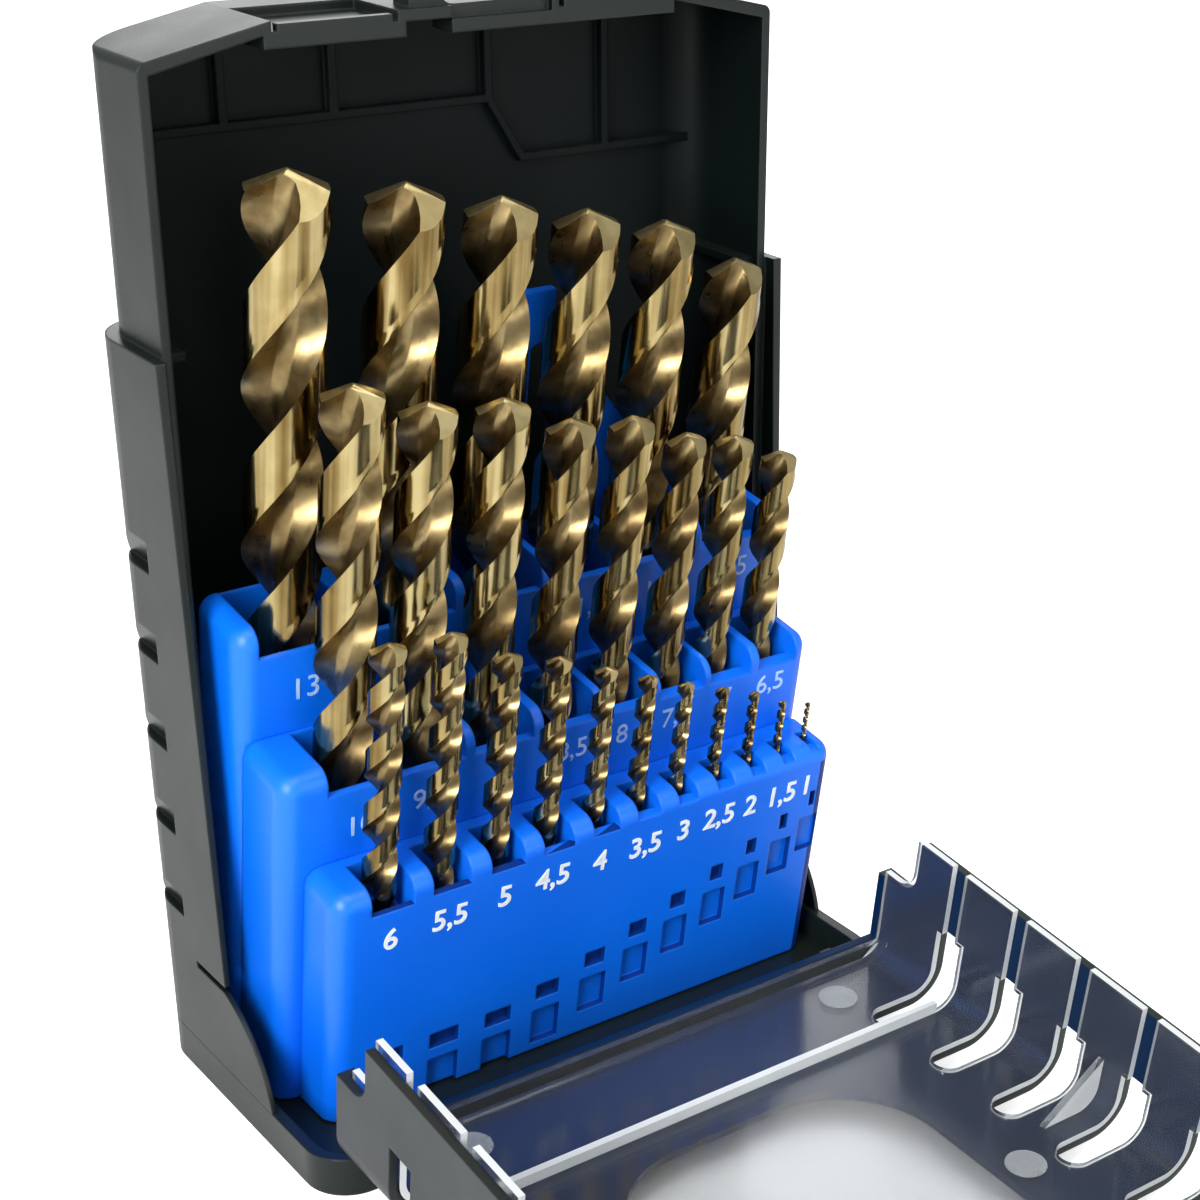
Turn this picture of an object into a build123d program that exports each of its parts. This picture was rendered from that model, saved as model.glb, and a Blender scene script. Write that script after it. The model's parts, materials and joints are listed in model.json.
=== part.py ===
from build123d import *
import os
from math import cos, radians, sin, tan

# Drill bit case: a back shell on a foot tray, a front lid that folds down to the table, and a
# stepped holder with twist drills that tips forward as the lid opens. The case is written out
# open. Millimetres; the origin is on the table, below the middle of the shell's front edge;
# +X runs to the right, +Y to the back and +Z up.

# Back shell
shell_width = 115.0
shell_depth = 22.0
shell_wall = 1.6
shell_top = 175.5
shell_corner = 8.0
roof_rise = 4.5
roof_run = 21.5
roof_wall = 1.8

# Sleeve round the lower shell, with its cheeks and grips
sleeve_top = 132.0
sleeve_step = 2.1
sleeve_rear_step = 1.5
sleeve_draft = 0.4
cheek_reach_top = 2.2
cheek_reach_low = 5.9
cheek_low = 24.4
cheek_gap = 0.4
lobe_radius = 22.3
lobe_centre_y = 1.2
lobe_centre_z = 1.9
lobe_slot = 1.2
lobe_slot_end = 5.0
grip_count = 5
grip_pitch = 15.8
grip_low = 31.5
grip_height = 8.5
grip_depth = 1.9
grip_reach = 7.0

# Ribs and recesses in the top of the shell
rib_depth = 1.8
rib_width = 1.4
shelf_high_drop = 13.5
shelf_low_drop = 24.1
shelf_bend = 12.8
shelf_bend_run = 6.5
rib_places = (-36.0, -16.5, 12.5, 36.0)
side_rib_width = 3.0
recess_inner = 14.6
recess_width = 21.4
recess_sink = 1.6
recess_depth = 14.0
recess_wall = 1.3
recess_floor_wall = 2.5
loop_seat_left = 5.1
loop_seat_sink = 2.0
catch_depth = 1.6
catch_height = 1.1
loop_width = 24.0
loop_height = 6.2
loop_depth = 5.0
loop_front = 1.2
loop_slot_width = 13.0
loop_slot_height = 4.5
loop_corner = 3.0

# Foot tray
foot_height = 7.0
foot_forward = 4.8
foot_wall = 2.0
foot_floor = 1.0
foot_corner = 8.0

# Lid, its hinge and its latches
lid_clearance = 0.3
lid_side_gap = 0.15
lid_bottom = 8.0
lid_depth = 30.4
lid_taper = 4.28
lid_top_gap = 0.5
frame_wall = 1.6
lid_corner = 8.0
lid_round = 7.0
hinge_forward = 4.5
hinge_z = 3.5
open_angle = 96.7
hinge_radius = 2.2
hinge_pin_radius = 1.1
hinge_inset = 13.35
hinge_width = 10.0
hinge_arm = 2.6
hinge_gap = 0.3
ear_width = 2.7
ear_depth = 6.0
ear_top = 6.4
pin_fit = 0.03
running_fit = 0.06
end_wall_height = 5.5
low_wall_drop = 11.0
low_wall_end = 17.0
low_wall_corner = 4.0
window_width = 59.0
window_low = 37.0
window_high = 150.0
window_corner = 18.0
slot_count = 5
slot_first = 27.9
slot_pitch = 15.6
slot_width = 6.4
slot_rim_width = 3.3
slot_drop = 13.5
slot_inner = 18.0
latch_width = 20.0
latch_plate = 1.8
latch_lift = 3.4
latch_reach = 4.5
latch_hook = 1.0

# Clear liner of the lid
liner_gap = 0.2
liner_wall = 1.2
liner_rise = 1.2
liner_rib_place = 31.3
liner_rib_height = 2.2
liner_rib_half = 50.0
gusset_run = 13.0
gusset_drop = 11.0

# Holder: tiers named from the back, places along the tilted holder (v back, u up)
tilt = 9.16
holder_clearance = 0.45
pivot_y = 5.0
pivot_z = 5.0
pivot_radius = 1.2
pivot_length = 7.0
tier_seam = 0.1
tier_corner = 3.6
tier_round = 3.0
holder_rear = 20.0
keel = 0.7
keel_gap = 0.4
socket_fit = 0.08
mouth_share = 1.22
mouth_margin = 0.6
mouth_side = 0.9
window_cut_drop = 9.0
stay_wall = 1.7
mast_left = -1.0
mast_right = 7.0
mast_top = 43.0
mast_hook = 4.3
mast_hook_height = 8.0
web_left = 12.5
web_right = 45.0
web_top = 32.0
web_slope = 1.2

# Each row: front face v, top u, drill axis v, mouth depth, lip drop, lip drop per mm of drill,
# left end as a share of half the holder
rows = {
    "back": (3.5, 89.5, 11.9, 14.0, 5.0, 0.0, 1.0),
    "middle": (-10.5, 69.5, -3.2, 12.0, 4.5, 0.0, 0.985),
    "front": (-21.5, 52.0, -16.5, 8.0, 0.2, 0.73, 0.91),
}

# Drills: diameter: (row, place across as a share of half the holder, socket floor u, length,
# flute length)
drills = {
    13.0: ("back", -0.7774, 10.9, 151.0, 101.0),
    12.5: ("back", -0.4082, 6.4, 151.0, 101.0),
    12.0: ("back", -0.0872, 2.0, 151.0, 101.0),
    11.5: ("back", 0.2171, 6.8, 142.0, 94.0),
    11.0: ("back", 0.5121, 2.8, 142.0, 94.0),
    10.5: ("back", 0.8052, 2.8, 133.0, 87.0),
    10.0: ("middle", -0.7143, 3.0, 130.6, 87.0),
    9.5: ("middle", -0.4712, 3.2, 125.0, 81.0),
    9.0: ("middle", -0.2189, 3.0, 123.3, 81.0),
    8.5: ("middle", 0.026, 3.2, 117.0, 75.0),
    8.0: ("middle", 0.2523, 3.0, 115.3, 75.0),
    7.5: ("middle", 0.4675, 4.0, 109.0, 69.0),
    7.0: ("middle", 0.6642, 3.0, 107.4, 69.0),
    6.5: ("middle", 0.8609, 4.3, 101.0, 63.0),
    6.0: ("front", -0.7161, 4.9, 90.9, 57.0),
    5.5: ("front", -0.5083, 4.9, 89.9, 57.0),
    5.0: ("front", -0.3061, 4.9, 83.1, 52.0),
    4.5: ("front", -0.1187, 4.9, 79.7, 47.0),
    4.0: ("front", 0.0631, 4.9, 75.0, 43.0),
    3.5: ("front", 0.2301, 5.8, 70.0, 39.0),
    3.0: ("front", 0.3878, 11.0, 61.0, 33.0),
    2.5: ("front", 0.5417, 11.6, 57.0, 30.0),
    2.0: ("front", 0.6809, 16.5, 49.0, 24.0),
    1.5: ("front", 0.8108, 21.5, 40.0, 18.0),
    1.0: ("front", 0.9258, 25.4, 34.0, 12.0),
}
point_angle = 130.0

# Sight recesses up the front tier, each with a slot above it; the first ones share one height
sight_depth = 1.2
sight_width_min = 4.3
sight_height = 7.4
sight_low = 4.2
sight_start = -3.4
sight_rise = 3.3
sight_gap = 2.6
sight_slot_height = 3.2

half_width = shell_width / 2
sleeve_half = half_width + sleeve_step
foot_half = sleeve_half - (sleeve_top - foot_height) * tan(radians(sleeve_draft))
sleeve_rear = shell_depth + sleeve_rear_step
lid_half = half_width - lid_side_gap
hinge_y = -lid_clearance - lid_depth - hinge_forward
hinge_place = lid_half - hinge_inset
foot_front = foot_forward - hinge_y
far = 2 * shell_width
roof_top = shell_top + roof_rise
recess_floor = roof_top - recess_sink
shelf_high = shell_top - shelf_high_drop
shelf_low = shell_top - shelf_low_drop
holder_half = lid_half - frame_wall - liner_gap - liner_wall - holder_clearance


def box(x0, x1, y0, y1, z0, z1):
    centre = Pos((x0 + x1) / 2, (y0 + y1) / 2, (z0 + z1) / 2)
    return centre * Box(abs(x1 - x0), abs(y1 - y0), abs(z1 - z0))


def outline(points):
    return make_face(Polyline(*points, close=True))


def along_y(face, y0, y1):
    """A face drawn in X and Z, stretched from y0 to y1."""
    return Pos(0, y1, 0) * extrude(Plane.XZ * face, y1 - y0)


def along_x(face, x0, x1):
    """A face drawn in Y and Z, stretched from x0 to x1."""
    return Pos(x0, 0, 0) * extrude(Plane.YZ * face, x1 - x0)


def rod(radius, x0, x1, y, z):
    return Pos((x0 + x1) / 2, y, z) * Rot(0, 90, 0) * Cylinder(radius, x1 - x0)


def both_sides(shape):
    return shape + mirror(shape, Plane.YZ)


def plan(half, front, rear, front_corner, rear_corner):
    """Rounded rectangle seen from above."""
    face = Pos(0, (front + rear) / 2) * Rectangle(2 * half, rear - front)
    if rear_corner:
        face = fillet(face.vertices().group_by(Axis.Y)[-1], rear_corner)
    if front_corner:
        face = fillet(face.vertices().group_by(Axis.Y)[0], front_corner)
    return face


def roof_outline(half, low, inset, corner):
    """Front view of the case: upright sides and a roof that rises towards the middle."""
    crest = shell_width / 2 - roof_run
    points = [(-half, low), (half, low), (half, shell_top - inset), (crest, roof_top - inset),
              (-crest, roof_top - inset), (-half, shell_top - inset)]
    face = outline(points)
    if corner:
        top = face.vertices().filter_by(lambda v: v.Y > low + 1).sort_by(Axis.X)
        face = fillet([top[0], top[-1]], corner)
    return face


# ---- Back shell ----

def sleeve_side():
    """Side view of the sleeve: cheek edge, slot and the round lobe that guards the corner."""
    wall = outline([(sleeve_rear + 5, foot_height), (0, foot_height), (0, cheek_low - lobe_slot),
                    (-cheek_reach_low, cheek_low - lobe_slot), (-cheek_reach_low, cheek_low),
                    (-cheek_reach_top, sleeve_top), (sleeve_rear + 5, sleeve_top)])
    lobe = Pos(lobe_centre_y, lobe_centre_z) * Circle(lobe_radius)
    lobe &= Pos(lobe_centre_y - 50, foot_height + 50) * Rectangle(100, 100)
    slot = Pos((lobe_slot_end - 30) / 2, cheek_low - lobe_slot / 2)
    slot *= Rectangle(lobe_slot_end + 30, lobe_slot)
    return wall + lobe - slot


def sleeve():
    face = Pos(0, 0, foot_height) * plan(foot_half, -30, sleeve_rear, 0, shell_corner + 1)
    solid = extrude(face, sleeve_top - foot_height, taper=-sleeve_draft)
    return solid & along_x(sleeve_side(), -far, far)


def grips():
    """Wedge-shaped finger grips down both rear corners."""
    cuts = []
    for i in range(grip_count):
        low = grip_low + i * grip_pitch
        face = outline([(sleeve_half + 1, low), (sleeve_half - grip_depth - 0.5, low),
                        (sleeve_half + 1, low + grip_height)])
        cuts.append(along_y(face, sleeve_rear - shell_corner - grip_reach, sleeve_rear + 1))
    return both_sides(Part() + cuts)


def roof_ribs():
    """Shallow shelf and uprights on the rear wall, under the roof."""
    wall_y = shell_depth - shell_wall
    inner = half_width - shell_wall
    bend = shelf_bend + shelf_bend_run
    shelf = outline([(-inner, shelf_high), (shelf_bend, shelf_high), (bend, shelf_low),
                     (inner, shelf_low), (inner, shelf_low - rib_width),
                     (bend - rib_width / 2, shelf_low - rib_width),
                     (shelf_bend - rib_width / 2, shelf_high - rib_width),
                     (-inner, shelf_high - rib_width)])
    ribs = along_y(shelf, wall_y - rib_depth, wall_y)
    for x in rib_places:
        low = shelf_high if x < bend else shelf_low
        ribs += box(x - rib_width / 2, x + rib_width / 2, wall_y - rib_depth, wall_y,
                    low - rib_width / 2, roof_top - roof_wall / 2)
    side = box(inner - side_rib_width, inner, shell_wall, wall_y,
               sleeve_top - rib_width, sleeve_top)
    return ribs + both_sides(side)


def hanging_loop():
    face = Pos(0, roof_top + (loop_height - 2) / 2) * Rectangle(loop_width, loop_height + 2)
    face = fillet(face.vertices().group_by(Axis.Y)[-1], loop_corner)
    slot_z = roof_top + loop_height - shell_wall - loop_slot_height / 2
    face -= Pos(0, slot_z) * SlotOverall(loop_slot_width, loop_slot_height)
    return along_y(face, loop_front, loop_front + loop_depth)


def shell_hollow():
    """Hollow of the shell; the recesses and the loop's seat hang down into it from the roof."""
    inner = half_width - shell_wall
    hollow = extrude(plan(inner, -1, shell_depth - shell_wall, 0, shell_corner - shell_wall), roof_top)
    hollow &= along_y(roof_outline(inner, -1, roof_wall, 0), -2, shell_depth)
    low = recess_floor - recess_floor_wall
    outer = recess_inner + recess_width + recess_wall
    inner_end = recess_inner - recess_wall
    hollow -= box(-outer, -inner_end, -2, recess_depth + recess_wall, low, roof_top)
    hollow -= box(inner_end, outer, -2, recess_depth + recess_wall, low, roof_top)
    return hollow - box(-loop_seat_left, inner_end + 1, -2, loop_front + loop_depth, low, roof_top)


def back_shell():
    body = Pos(0, 0, foot_height) * plan(half_width, 0, shell_depth, 0, shell_corner)
    upper = extrude(body, roof_top - foot_height)
    upper &= along_y(roof_outline(half_width, 0, 0, 1.5), -1, shell_depth + 1)
    shell = upper + sleeve()
    shell -= shell_hollow()
    cheek_inner = half_width + cheek_gap
    shell -= box(-cheek_inner, cheek_inner, -lobe_radius - 5, 0, 0, sleeve_top + 1)
    for side in (-1, 1):
        x0 = side * recess_inner
        x1 = side * (recess_inner + recess_width)
        shell -= box(x0, x1, -1, recess_depth, recess_floor, roof_top + 1)
        shell += box(x0 + side, x1 - side, 0, catch_depth, recess_floor - 0.5,
                     recess_floor + catch_height)
    shell -= box(-loop_seat_left, recess_inner - recess_wall, -1, loop_front,
                 roof_top - loop_seat_sink, roof_top + 1)
    return shell - grips() + (roof_ribs() & upper) + hanging_loop()


# ---- Foot tray ----

def foot_ears():
    """Bearing ears beside each lid hinge and one at each end of the holder."""
    ears = Part()
    for side in (-1, 1):
        inner = hinge_width / 2 + hinge_gap
        for x in (hinge_place - inner - ear_width, hinge_place + inner):
            ears += box(side * x, side * (x + ear_width), hinge_y - ear_depth / 2,
                        hinge_y + ear_depth / 2, foot_floor / 2, ear_top)
        wall_inner = foot_half - foot_wall
        ears += box(side * (holder_half + holder_clearance), side * (wall_inner + 0.5),
                    pivot_y - 2.6, pivot_y + 2.6, foot_floor / 2, foot_height - 0.2)
    return ears


def base_foot():
    outer = plan(foot_half, -foot_front, sleeve_rear, foot_corner, shell_corner + 1)
    inner = plan(foot_half - foot_wall, foot_wall - foot_front, sleeve_rear - foot_wall,
                 foot_corner - foot_wall, shell_corner + 1 - foot_wall)
    foot = extrude(outer, foot_height)
    foot -= Pos(0, 0, foot_floor) * extrude(inner, foot_height)
    foot += foot_ears()
    reach = hinge_width / 2 + hinge_gap
    for side in (-1, 1):
        x = side * hinge_place
        foot -= box(x - reach, x + reach, -foot_front - 1, hinge_y, foot_floor, foot_height + 1)
        end = reach + 2 * ear_width
        foot -= rod(hinge_pin_radius + pin_fit, x - end, x + end, hinge_y, hinge_z)
    socket_end = foot_half - foot_wall + lid_clearance
    return foot - both_sides(rod(pivot_radius + running_fit, holder_half, socket_end, pivot_y, pivot_z))


# ---- Lid, drawn closed and then folded open about its hinge ----

def folded_open(shape):
    return Pos(0, hinge_y, hinge_z) * Rot(open_angle, 0, 0) * Pos(0, -hinge_y, -hinge_z) * shape


def face_y(z, inset):
    """Front face of the lid at height z, drawn in by inset."""
    slope = tan(radians(lid_taper))
    return -lid_clearance - lid_depth + (z - lid_bottom) * slope + inset / cos(radians(lid_taper))


def lid_block(inset, rim):
    """Filled form of the lid, drawn in by inset on all sides but the rim."""
    low = lid_bottom + inset
    corner = lid_corner - inset
    face = roof_outline(lid_half - inset, low, lid_top_gap + inset, corner)
    block = along_y(face, -lid_depth - 2, rim)
    high = roof_top + 5
    block -= along_x(outline([(-far, low - 5), (face_y(low - 5, inset), low - 5),
                              (face_y(high, inset), high), (-far, high)]), -far, far)
    front = block.faces().sort_by(Axis.Y)[0]
    rounded = front.edges().sort_by(Axis.Z)[1:]
    return fillet(rounded, lid_round - inset)


def low_walls(drop, end_drop):
    """Cut that lowers the lid's walls beside and across the hinge."""
    side = outline([(-drop, 0), (10, 0), (10, low_wall_end), (-drop, low_wall_end)])
    corner = side.vertices().sort_by(Axis.Y)[-2:].sort_by(Axis.X)[0]
    side = fillet(corner, low_wall_corner)
    cut = along_x(side, -far, far)
    reach = lid_half - frame_wall - liner_gap - liner_wall
    return cut + box(-reach, reach, -end_drop, 10, 0, low_wall_end - low_wall_corner)


def grip_slots(width, inner_place):
    """Slots through the lid's sides that turn the corner onto its face, with round ends."""
    face = Sketch()
    for i in range(slot_count):
        z = slot_first + i * slot_pitch
        face += Pos((inner_place + far) / 2, z) * SlotOverall(far - inner_place, width)
    return both_sides(along_y(face, -far, -slot_drop - lid_clearance))


def lid_hinges():
    arm_run = (hinge_y, -lid_clearance - lid_depth + frame_wall * 0.7)
    arm_rise = (hinge_z, lid_bottom + frame_wall * 0.7)
    off = hinge_arm / 2 * sin(radians(45))
    arm = outline([(arm_run[0] - off, arm_rise[0] + off), (arm_run[0] + off, arm_rise[0] - off),
                   (arm_run[1] + off, arm_rise[1] - off), (arm_run[1] - off, arm_rise[1] + off)])
    x0 = hinge_place - hinge_width / 2
    x1 = hinge_place + hinge_width / 2
    lug = along_x(arm, x0, x1) + rod(hinge_radius, x0, x1, hinge_y, hinge_z)
    return both_sides(lug - rod(hinge_pin_radius + running_fit, x0 - 1, x1 + 1, hinge_y, hinge_z))


def lid_frame():
    frame = lid_block(0, -lid_clearance) - lid_block(frame_wall, 5)
    frame -= low_walls(lid_clearance + low_wall_drop, lid_clearance + lid_depth - end_wall_height)
    window = RectangleRounded(window_width, window_high - window_low, window_corner)
    frame -= along_y(Pos(0, (window_high + window_low) / 2) * window, -far, -lid_depth / 2)
    frame -= grip_slots(slot_width, lid_half - slot_inner)
    return folded_open(frame + lid_hinges())


def liner_ribs():
    """Cross rib near the hinge and a gusset between face and wall on each side."""
    inset = frame_wall + liner_gap
    z = liner_rib_place
    y = face_y(z, inset + liner_wall / 2)
    ribs = box(-liner_rib_half, liner_rib_half, y, y + liner_rib_height + liner_wall / 2,
               z - liner_wall / 2, z + liner_wall / 2)
    wall_x = lid_half - inset - liner_wall / 2
    z = slot_first + 2.5 * slot_pitch
    y = face_y(z, inset + liner_wall / 2)
    face = outline([(wall_x, y), (wall_x, y + gusset_drop), (wall_x - gusset_run, y)])
    gusset = Pos(0, 0, z - liner_wall / 2) * extrude(face, liner_wall)
    return ribs + both_sides(gusset)


def lid_window():
    inset = frame_wall + liner_gap
    liner = lid_block(inset, liner_rise - lid_clearance) - lid_block(inset + liner_wall, 5)
    liner += liner_ribs() & lid_block(inset + liner_wall / 2, 0)
    liner -= low_walls(lid_clearance + low_wall_drop - liner_rise,
                       lid_clearance + lid_depth - end_wall_height)
    liner -= grip_slots(slot_width - 2 * liner_gap, lid_half - slot_inner + liner_gap)
    under_roof = shell_top - roof_wall - 2 * lid_clearance
    liner -= box(-far, far, -lid_clearance, liner_rise, under_roof, roof_top)
    reach = lid_half - lid_corner
    for i in range(slot_count):
        z = slot_first + i * slot_pitch
        liner -= both_sides(box(reach, far, -slot_drop - 1, liner_rise,
                                z - slot_rim_width / 2, z + slot_rim_width / 2))
    return folded_open(liner)


def latch(side):
    """Snap hook on the lid's far wall that reaches over the catch in the shell's recess."""
    x0 = side * (recess_inner + (recess_width - latch_width) / 2)
    x1 = x0 + side * latch_width
    top = roof_top + latch_lift - lid_top_gap
    root = roof_top - lid_top_gap
    hook = outline([(-7, root), (-2, root), (-1, top - latch_plate), (latch_reach - 1.2, top - latch_plate),
                    (latch_reach - 1.2, top - latch_plate - latch_hook),
                    (latch_reach, top - latch_plate - latch_hook), (latch_reach, top), (-5, top)])
    return folded_open(along_x(hook, min(x0, x1), max(x0, x1)))


# ---- Holder and drills, drawn upright and then tipped forward ----

def tipped(shape):
    return Rot(tilt, 0, 0) * shape


def underside():
    """What is cut away below the holder, so that it can rock over the foot's floor."""
    slope = radians(tilt)
    def clear(v):
        return (foot_floor + keel_gap - v * sin(slope)) / cos(slope)
    knee = (foot_floor + keel_gap - keel * cos(slope)) / sin(slope)
    reach = 2 * shell_depth
    return along_x(outline([(-reach, clear(-reach)), (knee, keel), (reach, keel), (reach, -reach),
                            (-reach, -reach)]), -far, far)


def tier_block(row, rear):
    front, top, axis, mouth_depth, lip, lip_rate, left_share = rows[row]
    rear_corner = tier_corner if row == "back" else 0
    left = left_share * holder_half
    face = plan((holder_half + left) / 2, front, rear, tier_corner, rear_corner)
    block = Pos((holder_half - left) / 2, 0) * extrude(face, top)
    edges = block.faces().sort_by(Axis.Z)[-1].edges().sort_by(Axis.Y)[:-1]
    return fillet(edges, tier_round) - underside()


def pocket(diameter):
    """Socket and squared mouth for one drill, with the front lip cut lower."""
    row, share, floor, length, flute = drills[diameter]
    front, top, axis, mouth_depth, lip, lip_rate, left_share = rows[row]
    x = share * holder_half
    radius = diameter / 2
    half = diameter * mouth_share / 2 + mouth_margin / 2
    side = radius + mouth_side
    cut = Pos(x, axis, floor) * Cylinder(radius + socket_fit, top - floor,
                                         align=(Align.CENTER, Align.CENTER, Align.MIN))
    cut += box(x - half, x + half, axis - side, axis + side, top - mouth_depth, top + 1)
    drop = lip + lip_rate * diameter
    return cut + box(x - half, x + half, front - 1, axis, top - drop, top + 1)


def sight_windows():
    """Shallow square recesses and slots that climb across the front tier."""
    front = rows["front"][0]
    cuts = []
    front_row = [d for d in drills if drills[d][0] == "front"]
    for i, diameter in enumerate(front_row):
        x = drills[diameter][1] * holder_half
        half = (sight_width_min + diameter * 0.3) / 2
        low = max(sight_low, sight_start + i * sight_rise)
        deep = front + sight_depth
        cuts.append(box(x - half, x + half, front - 1, deep, low, low + sight_height))
        slot = low + sight_height + sight_gap
        half = max(diameter + 0.2, 1.2) / 2
        cuts.append(box(x - half, x + half, front - 1, deep, slot, slot + sight_slot_height))
    return cuts


def rear_stay():
    """Hooked mast and a sloping web that stand up behind the back row."""
    top = rows["back"][1]
    root = top - tier_corner
    tip = top + mast_top
    hook = tip - mast_hook_height
    mast = outline([(mast_left, root), (mast_left, tip - 3), (mast_left + 3, tip),
                    (mast_right + mast_hook, tip), (mast_right + mast_hook, hook),
                    (mast_right, hook - mast_hook / 2), (mast_right, root)])
    web_end = web_left + 2
    foot = web_end + (web_top + tier_corner) / web_slope
    web = outline([(web_left, root), (web_left, top + web_top), (web_end, top + web_top),
                   (min(foot, web_right), root)])
    rear = holder_rear - 0.2
    return along_y(mast, rear - stay_wall, rear) + along_y(web, rear - stay_wall, rear)


def pivot_place():
    """Holder pivot in the upright holder's own frame."""
    slope = radians(tilt)
    return (pivot_y * cos(slope) + pivot_z * sin(slope), pivot_z * cos(slope) - pivot_y * sin(slope))


def holder_tier(row):
    names = list(rows)
    rear = holder_rear if row == "back" else rows[names[names.index(row) - 1]][0] - tier_seam
    tier = tier_block(row, rear)
    tier -= [pocket(d) for d in drills if drills[d][0] == row]
    if row == "front":
        tier -= sight_windows()
    if row == "back":
        tier += rear_stay()
        v, u = pivot_place()
        depth = pivot_length - (foot_half - foot_wall - holder_half)
        tier -= both_sides(rod(pivot_radius + pin_fit, holder_half - depth - 0.3, holder_half + 1, v, u))
    return tipped(tier)


def holder_pin(side):
    end = foot_half - foot_wall - 0.2
    x0, x1 = sorted((side * end, side * (end - pivot_length)))
    return rod(pivot_radius, x0, x1, pivot_y, pivot_z)


def hinge_pin(side):
    reach = hinge_width / 2 + hinge_gap + ear_width
    return rod(hinge_pin_radius, side * hinge_place - reach, side * hinge_place + reach,
               hinge_y, hinge_z)


def drill(diameter):
    row, share, floor, length, flute = drills[diameter]
    radius = diameter / 2
    tip = radius / tan(radians(point_angle / 2))
    bevel = radius * 0.12
    face = outline([(0, 0), (radius - bevel, 0), (radius, bevel), (radius, length - tip), (0, length)])
    solid = revolve(Plane.XZ * face, Axis.Z)
    return tipped(Pos(share * holder_half, rows[row][2], floor) * solid)


def drill_name(diameter):
    return "drill_" + f"{diameter:.1f}".replace(".", "_")


parts = {
    "base_foot": base_foot(),
    "back_shell": back_shell(),
    "lid_frame": lid_frame(),
    "lid_window": lid_window(),
    "latch_left": latch(-1),
    "latch_right": latch(1),
    "hinge_pin_left": hinge_pin(-1),
    "hinge_pin_right": hinge_pin(1),
    "holder_pin_left": holder_pin(-1),
    "holder_pin_right": holder_pin(1),
}
for tier_row in rows:
    parts[f"holder_{tier_row}_tier"] = holder_tier(tier_row)
for size in drills:
    parts[drill_name(size)] = drill(size)

os.makedirs("parts", exist_ok=True)
for node, shape in parts.items():
    export_step(shape, f"parts/{node}.step")
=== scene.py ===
import bpy
import json
import math
from mathutils import Matrix, Vector


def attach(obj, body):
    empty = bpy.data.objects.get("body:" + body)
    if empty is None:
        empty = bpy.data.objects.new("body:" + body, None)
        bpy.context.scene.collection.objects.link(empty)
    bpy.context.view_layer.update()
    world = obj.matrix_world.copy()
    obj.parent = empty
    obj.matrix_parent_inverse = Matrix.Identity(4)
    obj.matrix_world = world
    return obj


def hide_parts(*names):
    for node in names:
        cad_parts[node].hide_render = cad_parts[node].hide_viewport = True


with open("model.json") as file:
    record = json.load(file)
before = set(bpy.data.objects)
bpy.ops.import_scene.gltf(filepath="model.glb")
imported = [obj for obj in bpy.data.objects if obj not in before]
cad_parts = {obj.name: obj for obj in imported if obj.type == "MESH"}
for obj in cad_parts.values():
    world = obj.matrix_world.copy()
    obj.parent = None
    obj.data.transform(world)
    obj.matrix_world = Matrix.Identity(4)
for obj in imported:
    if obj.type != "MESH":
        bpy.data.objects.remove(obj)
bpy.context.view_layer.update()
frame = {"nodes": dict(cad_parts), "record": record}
print("stage: frame loaded")

mm = 0.001
holderLean = math.radians(9.16)
lidFold = math.radians(96.7)
lidSlope = lidFold - math.radians(90)
hingePlace = Vector((0, -35.2 * mm, 3.5 * mm))
tipped = Matrix.Rotation(holderLean, 4, "X")
foldOpen = (Matrix.Translation(hingePlace) @ Matrix.Rotation(lidFold, 4, "X")
            @ Matrix.Translation(-hingePlace))
lidLong = Vector((0, -math.cos(lidSlope), -math.sin(lidSlope)))
lidUp = Vector((0, -math.sin(lidSlope), math.cos(lidSlope)))

# drills by diameter: row, place across, socket floor, length and flute length, in mm,
# all along the upright holder
rowAxis = {"back": 11.9, "middle": -3.2, "front": -16.5}
drillSizes = {
    13.0: ("back", -41.9, 10.9, 151.0, 101.0),
    12.5: ("back", -22.0, 6.4, 151.0, 101.0),
    12.0: ("back", -4.7, 2.0, 151.0, 101.0),
    11.5: ("back", 11.7, 6.8, 142.0, 94.0),
    11.0: ("back", 27.6, 2.8, 142.0, 94.0),
    10.5: ("back", 43.4, 2.8, 133.0, 87.0),
    10.0: ("middle", -38.5, 3.0, 130.6, 87.0),
    9.5: ("middle", -25.4, 3.2, 125.0, 81.0),
    9.0: ("middle", -11.8, 3.0, 123.3, 81.0),
    8.5: ("middle", 1.4, 3.2, 117.0, 75.0),
    8.0: ("middle", 13.6, 3.0, 115.3, 75.0),
    7.5: ("middle", 25.2, 4.0, 109.0, 69.0),
    7.0: ("middle", 35.8, 3.0, 107.4, 69.0),
    6.5: ("middle", 46.4, 4.3, 101.0, 63.0),
    6.0: ("front", -38.6, 4.9, 90.9, 57.0),
    5.5: ("front", -27.4, 4.9, 89.9, 57.0),
    5.0: ("front", -16.5, 4.9, 83.1, 52.0),
    4.5: ("front", -6.4, 4.9, 79.7, 47.0),
    4.0: ("front", 3.4, 4.9, 75.0, 43.0),
    3.5: ("front", 12.4, 5.8, 70.0, 39.0),
    3.0: ("front", 20.9, 11.0, 61.0, 33.0),
    2.5: ("front", 29.2, 11.6, 57.0, 30.0),
    2.0: ("front", 36.7, 16.5, 49.0, 24.0),
    1.5: ("front", 43.7, 21.5, 40.0, 18.0),
    1.0: ("front", 49.9, 25.4, 34.0, 12.0),
}


def clearSelection():
    if bpy.context.object and bpy.context.object.mode != "OBJECT":
        bpy.ops.object.mode_set(mode="OBJECT")
    bpy.ops.object.select_all(action="DESELECT")


def pick(obj):
    clearSelection()
    obj.select_set(True)
    bpy.context.view_layer.objects.active = obj


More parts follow.
